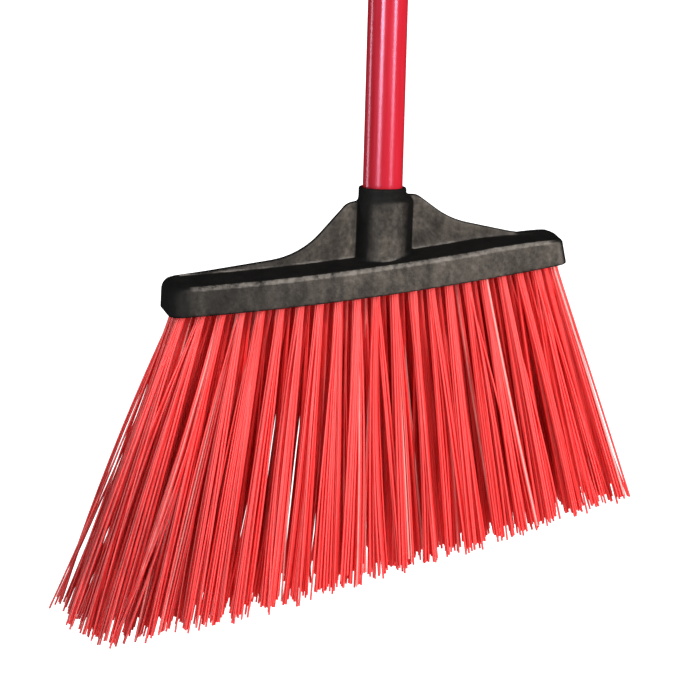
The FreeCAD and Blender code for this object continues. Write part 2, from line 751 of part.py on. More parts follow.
def main():
    columns = tuft_places()
    made = [
        make_broom_block(columns),
        make_tuft_anchors(columns),
        make_tuft_roots(columns),
        *make_tuft_columns(columns, make_trim()),
        make_handle_tube(),
        make_threaded_tip(),
        make_end_plug(),
        make_hang_cap(),
    ]
    doc.recompute()
    failed = [o.Name for o in doc.Objects if {"Invalid", "Error"} & set(o.State)]
    if failed:
        raise RuntimeError(f"these objects failed: {failed}")
    os.makedirs(PARTS_FOLDER, exist_ok=True)
    for part in made:
        shape = part.Shape
        if shape.isNull() or not shape.isValid() or not shape.Solids:
            raise RuntimeError(f"{part.Label} has no valid shape")
        shape.exportStep(os.path.join(PARTS_FOLDER, part.Label + ".step"))
        box = shape.BoundBox
        print(
            f"{part.Label}: {len(shape.Solids)} solids, {shape.Volume:.0f} mm3, "
            f"x {box.XMin:.1f} to {box.XMax:.1f}, y {box.YMin:.1f} to {box.YMax:.1f}, "
            f"z {box.ZMin:.1f} to {box.ZMax:.1f}"
        )


main()
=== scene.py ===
# Angle broom: red tube handle, black moulded block with a webbed socket, and fans of red plastic
# bristles. The block, the bristles and the tube's skin are detailed pieces that ride on the CAD
# bodies. The threaded tip, the end plug, the hanger and the wires are the CAD's own, with a material.
import json
import math

import bpy
import numpy as np
from mathutils import Matrix, Vector


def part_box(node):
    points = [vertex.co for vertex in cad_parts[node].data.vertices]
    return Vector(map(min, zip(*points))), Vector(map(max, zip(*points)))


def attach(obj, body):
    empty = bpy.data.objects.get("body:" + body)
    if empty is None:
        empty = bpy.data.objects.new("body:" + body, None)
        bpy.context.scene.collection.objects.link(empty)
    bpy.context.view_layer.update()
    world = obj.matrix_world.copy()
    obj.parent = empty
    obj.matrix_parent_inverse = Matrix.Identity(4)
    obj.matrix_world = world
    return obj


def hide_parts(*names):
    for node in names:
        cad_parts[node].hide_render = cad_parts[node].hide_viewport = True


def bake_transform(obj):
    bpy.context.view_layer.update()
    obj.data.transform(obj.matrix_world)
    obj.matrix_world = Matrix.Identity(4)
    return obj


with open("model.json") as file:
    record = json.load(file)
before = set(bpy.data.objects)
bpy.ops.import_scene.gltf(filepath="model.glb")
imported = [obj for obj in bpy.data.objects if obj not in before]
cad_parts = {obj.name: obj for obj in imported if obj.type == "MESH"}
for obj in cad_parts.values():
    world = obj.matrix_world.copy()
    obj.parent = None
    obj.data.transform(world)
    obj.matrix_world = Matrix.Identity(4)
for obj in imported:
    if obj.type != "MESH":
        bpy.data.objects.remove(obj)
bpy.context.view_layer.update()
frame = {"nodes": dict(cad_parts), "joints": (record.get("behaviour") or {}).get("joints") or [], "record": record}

MM = 0.001
mounts = {m["name"]: m for m in frame["record"]["mounts"]}
joints = {j["name"]: j for j in frame["joints"]}

# ------------------------------------------------------------------ sizes, in millimetres

TUBE_RADIUS = mounts["handle_grip"]["dims"]["r_mm"]
TUBE_TOP = mounts["handle_grip"]["dims"]["length_mm"]
SWAGE_RADIUS, SWAGE_LENGTH, TUBE_WALL = 10.8, 18.3, 0.7

# The bar of the block. Lengths along it are taken on its arched underside, from below the handle.
UNDERSIDE = -joints["bristle_flex"]["pos_m"][2] / MM
TILT = math.atan2(joints["bristle_flex"]["axis"][2], joints["bristle_flex"]["axis"][0])
ARCH = 1800.0
LEFT, RIGHT, HALF_DEPTH = 121.4, 102.7, 25.06
DRAFT = math.tan(math.radians(7.0))
LEFT_CORNER, RIGHT_CORNER = 9.0, 4.8
LEFT_DRAFT, RIGHT_DRAFT = math.tan(math.radians(8.5)), math.tan(math.radians(2.2))
RIDGE, ROOF_SLOPE = 20.1, math.tan(math.radians(11.6))
BROW, BROW_SLOPE, BROW_BEND = 61.6, 0.131, 4.0
FLATTER_FROM, FLATTER_TO, FLATTER_SHARE = 52, 96, 0.72
SWELL, SWELL_FROM, SWELL_TO = 0.25, 50, 100
CREST_BEND = 2.0
TOP_ROUND, LEFT_EXTRA_ROUND, RIGHT_EXTRA_ROUND, FOOT_ROUND = 1.8, 4.6, -0.5, 1.0
# The distance to a leaning face is less than the distance straight across or straight up to it.
WALL_SCALE, ROOF_SCALE = 0.9925, 0.97

NECK, BARREL_TOP, BARREL_FOOT = 13.35, 15.3, 15.7
BARREL_SHIFT, BARREL_LEAN, BARREL_MIDDLE = 1.75, 0.026, -10.0
SHOULDER, SHOULDER_SLOPE, SHOULDER_ROUND = -6.2, 0.06, 3.0
BARREL_TOP_HEIGHT, BARREL_ROOT = -9.0, -47.0
NECK_ROUND, NECK_FILLET = 0.5, 2.5
BORE_WIDE, BORE_NARROW, BORE_STEP, BORE_FLOOR, BORE_CHAMFER = 11.1, 9.825, -19.6, -41.0, 0.6

# The web's top edge as corners of (x, z, radius).
WEB_HALF, WEB_DRAFT, WEB_MIDDLE, WEB_ROUND = 2.3, 0.012, -40.0, 0.9
WEB_START, WEB_END, WEB_SEAT = -112, 86, 8
WEB_FILLET, BARREL_FILLET = 1.0, 1.1
WEB_LINE = [
    (-130.0, -53.0, 0), (-45.3, -38.6, 46), (-19.9, -9.2, 8), (-10.0, -6.9, 0),
    (10.0, -3.9, 0), (19.4, -3.9, 8), (38.7, -17.7, 46), (76.0, -25.1, 60), (120.0, -26.0, 0),
]

# The tufts: where their holes are, how they fan out in degrees, and the slanted cut that ends them.
TUFT_COLUMNS, TUFT_ROWS = 21, 4
FIRST_ROOT, WIDE_PITCH, NARROW_PITCH, ROW_SPACING = 114.0, 11.27, 9.68, 11.0
FAN_LEFT, FAN_RIGHT, END_SPLAY, SPLAY_REACH, ROW_LEAN = 14.6, 16.9, 3.5, 4.0, 1.5
HOLE_RADIUS, HOLE_DEPTH, HOLE_REACH, FLEX_DEPTH = 2.85, 9.6, 14, 7.2
HOLE_FLARE, FLARE_FROM = 0.5, -0.5
TRIM_DROP, TRIM_SLOPE, TRIM_RADIUS = 213.5, math.radians(16.0), 2460.0
TRIM_LEFT, TRIM_CORNER = 138.0, 60.0
TIP_RAISE, TIP_RAISE_FROM = 0.25, 148.0

# The filaments of a tuft. A spread is how far a filament strays at the end of the free length.
FILAMENTS, CLUMPS, TUFT_PACK_RADIUS = 24, 4, 2.25
FILAMENT_RADIUS, FILAMENT_SCATTER, THINNEST, THICKEST = 0.60, 0.03, 0.52, 0.68
LONGEST, SAMPLES, STATIONS, FREE_LENGTH = 235.0, 60, 11, 165.0
CLUMP_SPREAD, CLOSE_SPREAD = 3.1, 0.8
CLUMP_DRIFT, TUFT_DRIFT, CLUMP_SWAY = (2.2, 1.4), 1.2, 1.3
LOOSE_SHARE, LOOSE_SPREAD, HELD_SPREAD, LOOSE_SWAY, HELD_SWAY = 0.17, 4.2, 0.35, 1.2, 0.25
TIP_JITTER, SHORT_SHARE, SHORT_BY = 1.6, 0.06, 4
# Painted highlights: a share of filaments is lifted to the pale pink top of the colour ramp.
PAINTED_HIGHLIGHT_SHARE, PAINTED_HIGHLIGHT_TONE = 0.05, 0.6
ROOT_DEPTH = 7.2
GOLDEN_ANGLE = math.pi * (3 - math.sqrt(5))

GRID_STEP, GRID_MARGIN = 0.9, 3

rng = np.random.default_rng(7)


# ------------------------------------------------------------------ meshes


def add_object(name, verts, faces, material):
    """A mesh object from arrays of points in millimetres and of faces with equal corner counts."""
    mesh = bpy.data.meshes.new(name)
    verts = np.asarray(verts, float) * MM
    mesh.vertices.add(len(verts))
    mesh.vertices.foreach_set("co", verts.ravel())
    corners = np.concatenate([np.ravel(f) for f in faces])
    totals = np.concatenate([np.full(len(f), f.shape[1]) for f in faces])
    mesh.loops.add(len(corners))
    mesh.loops.foreach_set("vertex_index", corners.astype(np.int32))
    mesh.polygons.add(len(totals))
    starts = np.concatenate([[0], np.cumsum(totals)[:-1]])
    mesh.polygons.foreach_set("loop_start", starts.astype(np.int32))
    mesh.polygons.foreach_set("use_smooth", np.full(len(totals), True))
    mesh.update(calc_edges=True)
    mesh.validate()
    mesh.materials.append(material)
    made = bpy.data.objects.new(name, mesh)
    bpy.context.scene.collection.objects.link(made)
    return made


# ------------------------------------------------------------------ the block, as a distance field


def round_max(a, b, r):
    """Intersection of two fields, with a rounded edge of radius r."""
    sharp = np.maximum(a, b)
    both = np.hypot(np.maximum(a + r, 0), np.maximum(b + r, 0)) - r
    return np.where((a > -r) & (b > -r), both, sharp)


def round_min(a, b, r):
    """Union of two fields, with a fillet of radius r."""
    return -round_max(-a, -b, r)


def smooth_step(x, low, high):
    t = np.clip((x - low) / (high - low), 0, 1)
    return t * t * (3 - 2 * t)


def rounded_line(corners):
    """Points along a line of (x, z, radius) corners, each corner rounded with its radius."""
    points = [np.array(corners[0][:2], float)]
    for before, corner, after in zip(corners, corners[1:], corners[2:]):
        at = np.array(corner[:2], float)
        if corner[2] == 0:
            points.append(at)
            continue
        to_before = np.array(before[:2]) - at
        to_after = np.array(after[:2]) - at
        to_before /= np.linalg.norm(to_before)
        to_after /= np.linalg.norm(to_after)
        half = math.acos(np.clip(to_before @ to_after, -1, 1)) / 2
        reach = corner[2] / math.tan(half)
        middle = to_before + to_after
        centre = at + middle / np.linalg.norm(middle) * corner[2] / math.sin(half)
        start, end = at + to_before * reach - centre, at + to_after * reach - centre
        for t in np.linspace(0, 1, 9):
            spoke = start * (1 - t) + end * t
            points.append(centre + spoke / np.linalg.norm(spoke) * corner[2])
    points.append(np.array(corners[-1][:2], float))
    return np.array(points)


WEB_CURVE = rounded_line(WEB_LINE)


def block_axes(x, z):
    """Distance along the arched underside and height above it."""
    down = z + UNDERSIDE
    along = x * math.cos(TILT) + down * math.sin(TILT)
    above = -x * math.sin(TILT) + down * math.cos(TILT)
    return along, ARCH - np.hypot(along, ARCH - above)


def bar_field(x, y, z):
    """The drafted bar with its ridged roof, which drops towards the right from the brow."""
    along, up = block_axes(x, z)
    centre = (RIGHT - LEFT) / 2
    left_end = along < centre
    corner = np.where(left_end, LEFT_CORNER, RIGHT_CORNER)
    end_draft = np.where(left_end, LEFT_DRAFT, RIGHT_DRAFT)
    past_end = np.abs(along - centre) - ((LEFT + RIGHT) / 2 - up * end_draft - corner)
    past_side = np.abs(y) - (HALF_DEPTH - up * DRAFT - corner)
    plan = np.hypot(np.maximum(past_end, 0), np.maximum(past_side, 0))
    plan = plan + np.minimum(np.maximum(past_end, past_side), 0) - corner
    endness = np.arctan2(np.maximum(past_end, 0) + 1e-3, np.maximum(past_side, 0) + 1e-3) / (math.pi / 2)
    endness = np.where(past_end > 0, endness, 0)
    past_brow = along - BROW
    ridge = RIDGE - BROW_SLOPE * (np.hypot(past_brow, BROW_BEND) + past_brow) / 2
    ridge = ridge + SWELL * smooth_step(-along, SWELL_FROM, SWELL_TO)
    slope = ROOF_SLOPE * (1 - FLATTER_SHARE * smooth_step(along, FLATTER_FROM, FLATTER_TO))
    roof = up - ridge + slope * (np.hypot(y, CREST_BEND) - CREST_BEND)
    top_round = TOP_ROUND + endness * np.where(left_end, LEFT_EXTRA_ROUND, RIGHT_EXTRA_ROUND)
    walls_and_roof = round_max(plan * WALL_SCALE, roof * ROOF_SCALE, top_round)
    return round_max(walls_and_roof, -up, FOOT_ROUND)


def web_top(x):
    return np.interp(x, WEB_CURVE[:, 0], WEB_CURVE[:, 1])


def web_field(x, y, z):
    """The thin upright web in the handle's plane, under its curved top edge."""
    rise = web_top(x + 0.5) - web_top(x - 0.5)
    above = (z - web_top(x)) / np.sqrt(1 + rise * rise)
    side = np.abs(y) - (WEB_HALF - WEB_DRAFT * (z - WEB_MIDDLE))
    sheet = round_max(above, side, WEB_ROUND)
    low = WEB_SEAT - block_axes(x, z)[1]
    ends = np.maximum(x - WEB_END, WEB_START - x)
    return np.maximum(np.maximum(sheet, low), ends)


def socket_field(x, y, z):
    """A leaning barrel under a straight neck."""
    centre = BARREL_SHIFT + BARREL_LEAN * (z - BARREL_MIDDLE)
    barrel_radius = np.interp(z, [BORE_FLOOR, BARREL_TOP_HEIGHT], [BARREL_FOOT, BARREL_TOP])
    barrel = np.hypot(x - centre, y) - barrel_radius
    barrel = round_max(barrel, z - SHOULDER_SLOPE * x - SHOULDER, SHOULDER_ROUND)
    neck = round_max(np.hypot(x, y) - NECK, z, NECK_ROUND)
    return np.maximum(round_min(barrel, neck, NECK_FILLET), BARREL_ROOT - z)


def bore_field(x, y, z):
    """The stepped hole for the tube and the threaded tip, with a chamfer at its mouth."""
    away = np.hypot(x, y)
    wide = np.maximum(away - BORE_WIDE - np.maximum(z + BORE_CHAMFER, 0), BORE_STEP - z)
    narrow = np.maximum(away - BORE_NARROW, BORE_FLOOR - z)
    return np.minimum(wide, narrow)


def block_field(x, y, z):
    body = round_min(bar_field(x, y, z), web_field(x, y, z), WEB_FILLET)
    body = round_min(body, socket_field(x, y, z), BARREL_FILLET)
    return np.maximum(body, -bore_field(x, y, z))


def tuft_places():
    """Each tuft's column, row, root on the underside and direction."""
    shrink = (WIDE_PITCH - NARROW_PITCH) / (TUFT_COLUMNS - 1)
    places = []
    for column in range(TUFT_COLUMNS):
        for row in range(TUFT_ROWS):
            step = column + 0.5 * (row % 2)
            if step > TUFT_COLUMNS - 1:
                continue
            along = -FIRST_ROOT + WIDE_PITCH * step - shrink * step**2 / 2
            lean = -FAN_LEFT + (FAN_LEFT + FAN_RIGHT) * step / (TUFT_COLUMNS - 1)
            lean -= END_SPLAY * max(0, 1 - step / SPLAY_REACH)
            offset = row - (TUFT_ROWS - 1) / 2
            rise = ARCH - math.sqrt(ARCH**2 - along**2)
            root = np.array([
                along * math.cos(TILT) - rise * math.sin(TILT),
                offset * ROW_SPACING,
                -UNDERSIDE + along * math.sin(TILT) + rise * math.cos(TILT),
            ])
            out = ROW_LEAN * 2 * offset
            way = np.array([math.tan(math.radians(lean)), math.tan(math.radians(out)), -1.0])
            places.append((column, row, root, way / np.linalg.norm(way)))
    return places


PLACES = tuft_places()


def grid_field(field, low, counts, step):
    """A grid of the field's values, with the tufts' flared holes cut out."""
    axes = [low[k] + step * np.arange(counts[k]) for k in range(3)]
    x, y, z = np.meshgrid(*axes, indexing="ij")
    values = field(x, y, z)
    for _, _, root, way in PLACES:
        near = [np.searchsorted(axes[k], [root[k] - HOLE_REACH, root[k] + HOLE_REACH]) for k in range(3)]
        inside = tuple(slice(*pair) for pair in near)
        px, py, pz = x[inside] - root[0], y[inside] - root[1], z[inside] - root[2]
        down = px * way[0] + py * way[1] + pz * way[2]
        away = np.sqrt(np.maximum(px**2 + py**2 + pz**2 - down**2, 0))
        flare = HOLE_FLARE * np.maximum(down - FLARE_FROM, 0)
        hole = np.maximum(away - HOLE_RADIUS - flare, -HOLE_DEPTH - down)
        values[inside] = np.maximum(values[inside], -hole)
    return values


def surface_net(values, low, step):
    """Quads over the zero level of a grid of values."""
    inside = values < 0
    count = np.zeros(np.array(values.shape) - 1)
    total = np.zeros(count.shape + (3,))
    offsets = [(a, b, c) for a in (0, 1) for b in (0, 1) for c in (0, 1)]

    def corner(array, offset):
        return array[tuple(slice(o, n - 1 + o) for o, n in zip(offset, array.shape))]

    for axis in range(3):
        for start in offsets:
            if start[axis]:
                continue
            end = list(start)
            end[axis] = 1
            a, b = corner(values, start), corner(values, end)
            cross = corner(inside, start) != corner(inside, end)
            share = np.where(cross, a / np.where(cross, a - b, 1), 0)
            count += cross
            for k in range(3):
                total[..., k] += np.where(cross, start[k] + (share if k == axis else 0), 0)
    active = count > 0
    index = -np.ones(count.shape, int)
    index[active] = np.arange(active.sum())
    cells = np.argwhere(active)
    verts = low + step * (cells + total[active] / count[active][:, None])
    quads = []
    for axis in range(3):
        u, v = (axis + 1) % 3, (axis + 2) % 3
        lower = [slice(0, n) for n in values.shape]
        upper = list(lower)
        lower[axis], upper[axis] = slice(0, -1), slice(1, None)
        flips = inside[tuple(lower)] != inside[tuple(upper)]
        for k in (u, v):
            edge = [slice(None)] * 3
            edge[k] = 0
            flips[tuple(edge)] = False
            edge[k] = -1
            flips[tuple(edge)] = False
        where = np.argwhere(flips)
        outward = inside[tuple(lower)][flips]
        ring = []
        for du, dv in ((1, 1), (0, 1), (0, 0), (1, 0)):
            cell = where.copy()
            cell[:, u] -= du
            cell[:, v] -= dv
            ring.append(index[cell[:, 0], cell[:, 1], cell[:, 2]])
        quad = np.stack(ring, axis=1)
        quad[~outward] = quad[~outward][:, ::-1]
        quads.append(quad)
    return verts, np.concatenate(quads)


def make_block(material):
    low, high = (np.array(corner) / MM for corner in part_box("broom_block"))
    low = low - GRID_MARGIN
    counts = np.ceil((high + GRID_MARGIN - low) / GRID_STEP).astype(int)
    values = grid_field(block_field, low, counts, GRID_STEP)
    verts, quads = surface_net(values, low, GRID_STEP)
    made = add_object("block_moulding", verts, [quads], material)
    normals = np.empty(len(verts) * 3, np.float32)
    made.data.vertices.foreach_get("normal", normals)
    store_wear_and_painted_light(made, verts, normals.reshape(-1, 3))
    return made


def store_wear_and_painted_light(made, verts, normals):
    """Masks for the block's colour: painted highlights on its upper edges and along the foot of the web, and the
    upright faces, lighter from rubbing and painted light.
    """
    x, y, z = verts.T
    along, up = block_axes(x, z)
    # Painted highlight: a pale line on the rounded top edges of the front and back faces, short of the ends.
    turns = smooth_step(bend_of(bar_field, x, y, z), 0.12, 0.34) * smooth_step(np.abs(y), 14, 18)
    between_ends = smooth_step(along, -109, -103) * smooth_step(-along, -100, -90)
    store(made, "painted_edge_highlight", turns * smooth_step(up, 8, 11) * between_ends)

    # Painted highlight: a pale line where the web meets the bar, and where the barrel meets it only at its front.
    on_bar = 1 - smooth_step(np.abs(bar_field(x, y, z)), 0.2, 0.9)
    beside_front = 1.2 * smooth_step(np.abs(x - 2), 3, 8) + (y > 0)
    barrel = np.abs(socket_field(x, y, z)) + beside_front
    web_foot_highlight = np.minimum(np.abs(web_field(x, y, z)), barrel)
    store(made, "web_foot_highlight", on_bar * (1 - smooth_step(web_foot_highlight, 0.2, 0.9)) * (1 - smooth_step(along, 55, 75)))

    # Painted light with rubbing: the upright front and back faces get the lighter colour, less of it towards the
    # left, little past the left end and none on the neck, so that the roof, the ends and the neck stay dark as if
    # in shade.
    upright = smooth_step(np.abs(normals[:, 1]), 0.66, 0.98)
    brighter_to_middle = 0.38 + 0.62 * smooth_step(along, -95, -10)
    past_left = 0.1 + 0.9 * smooth_step(along, -113, -104)
    on_neck = 1 - smooth_step(np.hypot(x, y), NECK + 0.8, NECK + 3.5)
    store(made, "rubbed_and_lit", upright * brighter_to_middle * past_left * (1 - on_neck * smooth_step(z, -15, -6)))


def bend_of(field, x, y, z, reach=0.9):
    """How sharply a field's surface turns at the points: above zero on outer edges, below it in hollows."""
    around = field(x + reach, y, z) + field(x - reach, y, z)
    around += field(x, y + reach, z) + field(x, y - reach, z)
    around += field(x, y, z + reach) + field(x, y, z - reach)
    return (around - 6 * field(x, y, z)) / reach**2


def tube_values(values, stations, sides=6):
    """One number per tube, spread over the points that tubes() gives."""
    return np.concatenate([np.repeat(values, stations * sides), np.repeat(values, 2 * sides)])


def store(made, name, values):
    """Stores one number per point."""
    attribute = made.data.attributes.new(name, "FLOAT", "POINT")
    attribute.data.foreach_set("value", np.asarray(values, np.float32))


# ------------------------------------------------------------------ bristles


def cut_height(x):
    """Height of the slanted cut at x."""
    centre_x = -TRIM_RADIUS * math.sin(TRIM_SLOPE)
    centre_z = -TRIM_DROP + TRIM_RADIUS * math.cos(TRIM_SLOPE)
    flat = centre_z - np.sqrt(TRIM_RADIUS**2 - (x - centre_x) ** 2)
    end = np.array([-TRIM_LEFT, centre_z - math.sqrt(TRIM_RADIUS**2 - (-TRIM_LEFT - centre_x) ** 2)])
    inward = np.array([centre_x, centre_z]) - end
    corner = end + inward / np.linalg.norm(inward) * TRIM_CORNER
    inside = np.clip(x, corner[0] - TRIM_CORNER + 0.5, None)
    curved = corner[1] - np.sqrt(np.maximum(TRIM_CORNER**2 - (inside - corner[0]) ** 2, 0))
    raised = TIP_RAISE * np.maximum(-TIP_RAISE_FROM - x, 0)
    return np.where(x < -TRIM_LEFT, curved, flat) + raised


def packing(count, radius):
    """Points packed evenly in a circle."""
    k = np.arange(count) + 0.5
    away = radius * np.sqrt(k / count)
    turn = k * GOLDEN_ANGLE
    return np.stack([away * np.cos(turn), away * np.sin(turn)], axis=1)


def tuft_filaments(root, way, count):
    """Centre lines of one tuft's filaments, which hang together in clumps: (count, SAMPLES, 3)."""
    side = np.cross(way, (0.0, 1.0, 0.0))
    side /= np.linalg.norm(side)
    back = np.cross(side, way)
    turn = rng.uniform(0, 2 * math.pi)
    spin = np.array([[math.cos(turn), -math.sin(turn)], [math.sin(turn), math.cos(turn)]])
    places = packing(count, TUFT_PACK_RADIUS) @ spin.T
    seeds = places[rng.choice(count, CLUMPS, replace=False)]
    clump = np.argmin(np.linalg.norm(places[:, None] - seeds, axis=2), axis=1)
    middles = np.array([places[clump == k].mean(axis=0) for k in range(CLUMPS)])
    drift = rng.normal(0, 1, (CLUMPS, 2)) * CLUMP_DRIFT + rng.normal(0, TUFT_DRIFT, 2)
    sway = rng.normal(0, CLUMP_SWAY, (CLUMPS, 2))
    loose = rng.random(count) > 1 - LOOSE_SHARE
    own = rng.normal(0, 1, (count, 2)) * np.where(loose, LOOSE_SPREAD, HELD_SPREAD)[:, None]
    own_sway = rng.normal(0, 1, (count, 2)) * np.where(loose, LOOSE_SWAY, HELD_SWAY)[:, None]
    s = np.linspace(0, LONGEST, SAMPLES)[None, :, None]
    free = np.maximum(s - FLEX_DEPTH, 0) / FREE_LENGTH
    bow = 4 * (free - free**2)
    centre = middles[clump][:, None] * (1 + CLUMP_SPREAD * free)
    centre = centre + drift[clump][:, None] * free + sway[clump][:, None] * bow
    near = (places - middles[clump])[:, None] * (1 + CLOSE_SPREAD * free)
    offset = centre + near + own[:, None] * free + own_sway[:, None] * bow
    return root + way * s + offset[..., :1] * side + offset[..., 1:] * back


def trimmed(lines, jitter):
    """Index (as a fraction) along each line at which the cut ends it."""
    over = lines[..., 2] - cut_height(lines[..., 0]) - jitter[:, None]
    first = np.argmax(over < 0, axis=1)
    first = np.where((over < 0).any(axis=1), first, lines.shape[1] - 1)
    rows = np.arange(len(lines))
    before, after = over[rows, first - 1], over[rows, first]
    return first - 1 + before / np.maximum(before - after, 1e-6)


def resample(lines, start, end, stations):
    """The lines between two fractional indices, at evenly spaced stations."""
    t = start[:, None] + (end - start)[:, None] * np.linspace(0, 1, stations)
    low = np.clip(np.floor(t).astype(int), 0, lines.shape[1] - 2)
    part = (t - low)[..., None]
    rows = np.arange(len(lines))[:, None]
    return lines[rows, low] * (1 - part) + lines[rows, low + 1] * part


def tubes(lines, radii, sides=6):
    """Capped tubes round the lines: points, quads and cap faces."""
    count, stations, _ = lines.shape
    way = np.gradient(lines, axis=1)
    way /= np.linalg.norm(way, axis=2, keepdims=True)
    u = np.cross(way, np.array([0.0, 1.0, 0.0]))
    u /= np.linalg.norm(u, axis=2, keepdims=True)
    v = np.cross(way, u)
    turn = np.arange(sides) * 2 * math.pi / sides
    ring = np.cos(turn)[:, None] * u[:, :, None, :] + np.sin(turn)[:, None] * v[:, :, None, :]
    points = lines[:, :, None, :] + ring * radii[:, None, None, None]
    base = (np.arange(count) * stations * sides)[:, None, None]
    here = np.arange(stations - 1)[None, :, None] * sides + np.arange(sides)
    nxt = np.arange(stations - 1)[None, :, None] * sides + (np.arange(sides) + 1) % sides
    corners = [base + here, base + here + sides, base + nxt + sides, base + nxt]
    quads = np.stack(corners, axis=-1).reshape(-1, 4)
    ends = points[:, (0, -1)].reshape(-1, 3)
    caps = count * stations * sides + np.arange(2 * count * sides).reshape(-1, sides)
    caps[1::2] = caps[1::2, ::-1]
    return np.concatenate([points.reshape(-1, 3), ends]), quads, caps


def make_bristles(material):
    """One piece per column of tufts, and one for all the roots."""
    made, root_lines, root_radii, root_tones = [], [], [], []
    start = np.full(FILAMENTS, (FLEX_DEPTH - 0.5) / LONGEST * (SAMPLES - 1))
    root_span = np.array([-ROOT_DEPTH, FLEX_DEPTH - 0.3])[None, :, None]
    for column in range(TUFT_COLUMNS):
        lines, radii, tones = [], [], []
        for _, _, root, way in (p for p in PLACES if p[0] == column):
            radius = rng.normal(FILAMENT_RADIUS, FILAMENT_SCATTER, FILAMENTS).clip(THINNEST, THICKEST)
            whole = tuft_filaments(root, way, FILAMENTS)
            longer = rng.normal(0, TIP_JITTER, FILAMENTS)
            longer -= SHORT_BY * (rng.random(FILAMENTS) > 1 - SHORT_SHARE)
            end = trimmed(whole, -longer)
            tone = rng.random(FILAMENTS) * 0.65 + 0.25 * rng.random()
            # A few filaments get a painted highlight.
            tone += PAINTED_HIGHLIGHT_TONE * (rng.random(FILAMENTS) > 1 - PAINTED_HIGHLIGHT_SHARE)
            lines.append(resample(whole, start, end, STATIONS))
            radii.append(radius)
            tones.append(tone)
            root_lines.append(whole[:, :1] + way * root_span)
            root_radii.append(radius)
            root_tones.append(tone)
        points, quads, caps = tubes(np.concatenate(lines), np.concatenate(radii))
        piece = add_object(f"bristles_{column + 1:02d}", points, [quads, caps], material)
        store(piece, "tone", tube_values(np.concatenate(tones), STATIONS))
        x, _, z = points.T
        # Painted shade: the tips darker towards the lower left.
        store(piece, "lower_left_shade", smooth_step(-x, 70, 150) * smooth_step(-z, 80, 190))
        made.append(piece)
    points, quads, caps = tubes(np.concatenate(root_lines), np.concatenate(root_radii))
    roots = add_object("bristle_roots", points, [quads, caps], material)
    store(roots, "tone", tube_values(np.concatenate(root_tones), 2))
    return made, roots


# ------------------------------------------------------------------ turned pieces


def revolve(name, profile, material, segments=128):
    """A closed ring of (radius, height) points turned about the Z axis."""
    profile = np.array(profile, float)
    turn = np.arange(segments) * 2 * math.pi / segments
    points = np.stack([
        profile[:, None, 0] * np.cos(turn), profile[:, None, 0] * np.sin(turn),
        np.repeat(profile[:, None, 1], segments, axis=1),
    ], axis=-1).reshape(-1, 3)
    rows = np.arange(len(profile))[:, None] * segments
    after = ((np.arange(len(profile)) + 1) % len(profile))[:, None] * segments
    here, nxt = np.arange(segments), (np.arange(segments) + 1) % segments
    quads = np.stack([rows + here, rows + nxt, after + nxt, after + here], axis=-1).reshape(-1, 4)
    return add_object(name, points, [quads], material)


def make_tube(material):
    """The handle's thin tube, with its swaged lower end and rounded lips."""
    inner, swage = TUBE_RADIUS - TUBE_WALL, SWAGE_RADIUS - TUBE_WALL
    outside = [(SWAGE_RADIUS, -SWAGE_LENGTH), (SWAGE_RADIUS, -1.4)]
    outside += [(SWAGE_RADIUS + 0.1, -1.0), (TUBE_RADIUS - 0.05, -0.1)]
    outside += [(TUBE_RADIUS, z) for z in (0.3, 2, 60, 250, 500, 750, 1000, TUBE_TOP - 0.6)]
    outside += [(TUBE_RADIUS - 0.1, TUBE_TOP - 0.15), (TUBE_RADIUS - 0.3, TUBE_TOP)]
    inside = [(inner + 0.1, TUBE_TOP), (inner, TUBE_TOP - 0.3), (inner, 0.0)]
    inside += [(swage, -1.2), (swage, -SWAGE_LENGTH)]
    return revolve("handle_skin", outside + inside, material)


# ------------------------------------------------------------------ materials


def new_material(name):
    material = bpy.data.materials.new(name)
    material.use_nodes = True
    tree = material.node_tree
    return material, tree, tree.nodes["Principled BSDF"]


def node(tree, kind, inputs=None, **properties):
    made = tree.nodes.new("ShaderNode" + kind)
    for key, value in properties.items():
        setattr(made, key, value)
    for key, value in (inputs or {}).items():
        if isinstance(value, bpy.types.NodeSocket):
            tree.links.new(value, made.inputs[key])
        else:
            made.inputs[key].default_value = value
    return made


def ramp(tree, factor, stops):
    made = node(tree, "ValToRGB", {"Fac": factor})
    elements = made.color_ramp.elements
    while len(elements) < len(stops):
        elements.new(0.5)
    for element, (place, colour) in zip(elements, stops):
        element.position = place
        element.color = (*colour, 1)
    return made.outputs["Color"]


def grey(value):
    return (value, value, value)


def object_point(tree, scale=(1, 1, 1)):
    point = node(tree, "TexCoord").outputs["Object"]
    return node(tree, "Mapping", {"Vector": point, "Scale": scale}).outputs["Vector"]


def noise(tree, point, scale, detail, roughness):
    inputs = {"Vector": point, "Scale": scale, "Detail": detail, "Roughness": roughness}
    return node(tree, "TexNoise", inputs).outputs["Fac"]


def bump(tree, height, strength, distance, normal=None):
    inputs = {"Height": height, "Strength": strength, "Distance": distance}
    if normal:
        inputs["Normal"] = normal
    return node(tree, "Bump", inputs).outputs["Normal"]


def mix(tree, factor, a, b, kind="RGBA"):
    """A to B by a factor. The Mix node has sockets of every type, so its sockets are picked by number."""
    first, second, result = {"RGBA": (6, 7, 2), "FLOAT": (2, 3, 0)}[kind]
    return node(tree, "Mix", {0: factor, first: a, second: b}, data_type=kind).outputs[result]


def attribute(tree, name):
    return node(tree, "Attribute", attribute_name=name).outputs["Fac"]


def remap(tree, value, low, high, to_low=0.0, to_high=1.0):
    inputs = {"Value": value, "From Min": low, "From Max": high, "To Min": to_low, "To Max": to_high}
    return node(tree, "MapRange", inputs).outputs["Result"]


def times(tree, a, b):
    return node(tree, "Math", {0: a, 1: b}, operation="MULTIPLY").outputs[0]


